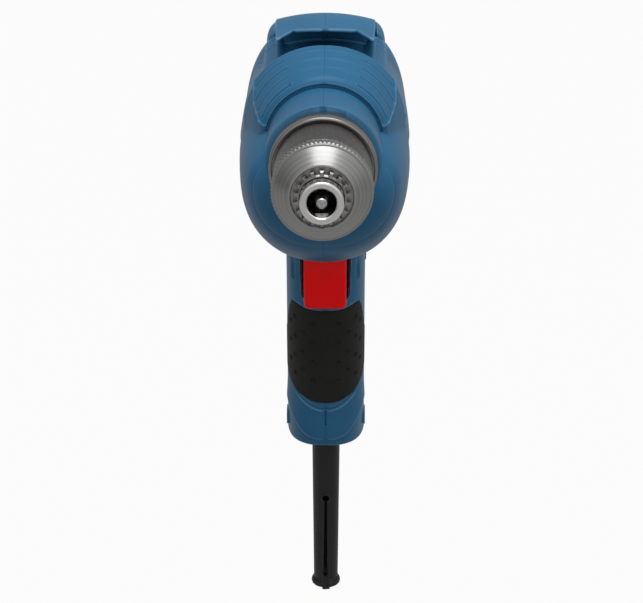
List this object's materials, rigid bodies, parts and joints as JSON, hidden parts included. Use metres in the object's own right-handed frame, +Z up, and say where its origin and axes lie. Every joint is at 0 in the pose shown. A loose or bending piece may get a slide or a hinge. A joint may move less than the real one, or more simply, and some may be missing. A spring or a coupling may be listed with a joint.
{
  "type": "electric drill",
  "caption": "Corded pistol-grip electric drill with blue moulded housing, belt hook, red trigger, rubber grip pad and keyed jaw chuck",
  "frame": {"origin": "On the spindle axis, in the front face of the 43 mm clamping collar", "axes": "+Z up along the upright of the pistol grip, chuck towards -Y, +X to the right of someone facing the chuck"},
  "size_m": [0.0678, 0.1967, 0.2765],
  "materials": {
    "housing_plastic": "fine-grained glass-filled nylon, steel blue",
    "soft_rubber": "black moulded elastomer",
    "red_plastic": "smooth red moulding",
    "dark_plastic": "black moulded plastic",
    "chuck_steel": "turned and polished steel",
    "machined_steel": "ground and turned steel",
    "dark_steel": "hardened, oil-blacked steel",
    "spring_steel": "drawn spring wire",
    "zinc_steel": "zinc-plated screws",
    "cast_alloy": "die cast, as cast",
    "sintered_bronze": "oil-filled sintered bush",
    "brass_sheet": "folded brass sheet",
    "copper_wire": "enamelled copper",
    "carbon": "pressed carbon",
    "amber_film": "dipped film capacitor"
  },
  "bodies": {
    "housing": {"housing_left": "housing_plastic", "housing_right": "housing_plastic", "grip_pad": "soft_rubber", "housing_screw_1": "zinc_steel", "housing_screw_2": "zinc_steel", "housing_screw_3": "zinc_steel", "housing_screw_4": "zinc_steel", "housing_screw_5": "zinc_steel", "housing_screw_6": "zinc_steel", "housing_screw_7": "zinc_steel", "spindle_bearing_outer": "machined_steel", "spindle_rear_bush": "sintered_bronze", "gear_plate": "cast_alloy", "armature_front_bearing_outer": "machined_steel", "armature_rear_bearing_outer": "machined_steel", "bearing_cushion": "soft_rubber", "stator_core": "dark_steel", "field_coil_left": "copper_wire", "field_coil_right": "copper_wire", "brush_holder_left": "brass_sheet", "brush_holder_right": "brass_sheet", "brush_left": "carbon", "brush_right": "carbon", "brush_spring_left": "spring_steel", "brush_spring_right": "spring_steel", "switch_body": "dark_plastic", "trigger_spring": "spring_steel", "lock_spring": "spring_steel", "capacitor": "amber_film", "cord_clamp": "dark_plastic", "clamp_screw_1": "zinc_steel", "clamp_screw_2": "zinc_steel", "cord_sleeve": "soft_rubber"},
    "armature": {"armature_shaft": "machined_steel", "armature_core": "dark_steel", "armature_winding_front": "copper_wire", "armature_winding_rear": "copper_wire", "commutator": "copper_wire", "fan": "dark_plastic", "armature_front_bearing_inner": "machined_steel", "armature_rear_bearing_inner": "machined_steel"},
    "spindle": {"spindle": "machined_steel", "spindle_gear": "machined_steel", "gear_circlip": "dark_steel", "spindle_bearing_inner": "machined_steel", "chuck_body": "chuck_steel", "chuck_screw": "dark_steel"},
    "chuck_sleeve": {"chuck_sleeve": "chuck_steel", "chuck_nut": "machined_steel"},
    "jaw_1": {"chuck_jaw_1": "dark_steel"},
    "jaw_2": {"chuck_jaw_2": "dark_steel"},
    "jaw_3": {"chuck_jaw_3": "dark_steel"},
    "trigger": {"trigger": "red_plastic"},
    "reversing_slider": {"reversing_slider": "dark_plastic"},
    "lock_button": {"lock_button": "dark_plastic"}
  },
  "joints": [
    {"name": "armature_spin", "type": "hinge", "parent": "housing", "child": "armature", "pos_m": [0, 0, -0.0224], "axis": [0, 1, 0], "continuous": true},
    {"name": "spindle_spin", "type": "hinge", "parent": "housing", "child": "spindle", "pos_m": [0, 0, 0], "axis": [0, 1, 0], "continuous": true},
    {"name": "chuck_sleeve_turn", "type": "hinge", "parent": "spindle", "child": "chuck_sleeve", "pos_m": [0, 0, 0], "axis": [0, -1, 0], "range_deg": [0, 2880]},
    {"name": "jaw_1_slide", "type": "slide", "parent": "spindle", "child": "jaw_1", "axis": [0, 0.9563, 0.2924], "range_m": [0, 0.0171]},
    {"name": "jaw_2_slide", "type": "slide", "parent": "spindle", "child": "jaw_2", "axis": [-0.2532, 0.9563, -0.1462], "range_m": [0, 0.0171]},
    {"name": "jaw_3_slide", "type": "slide", "parent": "spindle", "child": "jaw_3", "axis": [0.2532, 0.9563, -0.1462], "range_m": [0, 0.0171]},
    {"name": "trigger_slide", "type": "slide", "parent": "housing", "child": "trigger", "axis": [0, 1, 0], "range_m": [0, 0.0065], "stiffness_N_per_m": 700, "springref_m": -0.002, "deforming": ["trigger_spring"]},
    {"name": "reversing_slide", "type": "slide", "parent": "housing", "child": "reversing_slider", "axis": [1, 0, 0], "range_m": [-0.003, 0.003]},
    {"name": "lock_press", "type": "slide", "parent": "housing", "child": "lock_button", "axis": [-1, 0, 0], "range_m": [0, 0.003], "stiffness_N_per_m": 400, "springref_m": -0.001, "deforming": ["lock_spring"]}
  ],
  "couplings": [
    {"joint": "spindle_spin", "follows": "armature_spin", "ratio": -0.16667},
    {"joint": "jaw_1_slide", "follows": "chuck_sleeve_turn", "m_per_rad": 0.00034022},
    {"joint": "jaw_2_slide", "follows": "chuck_sleeve_turn", "m_per_rad": 0.00034022},
    {"joint": "jaw_3_slide", "follows": "chuck_sleeve_turn", "m_per_rad": 0.00034022}
  ]
}
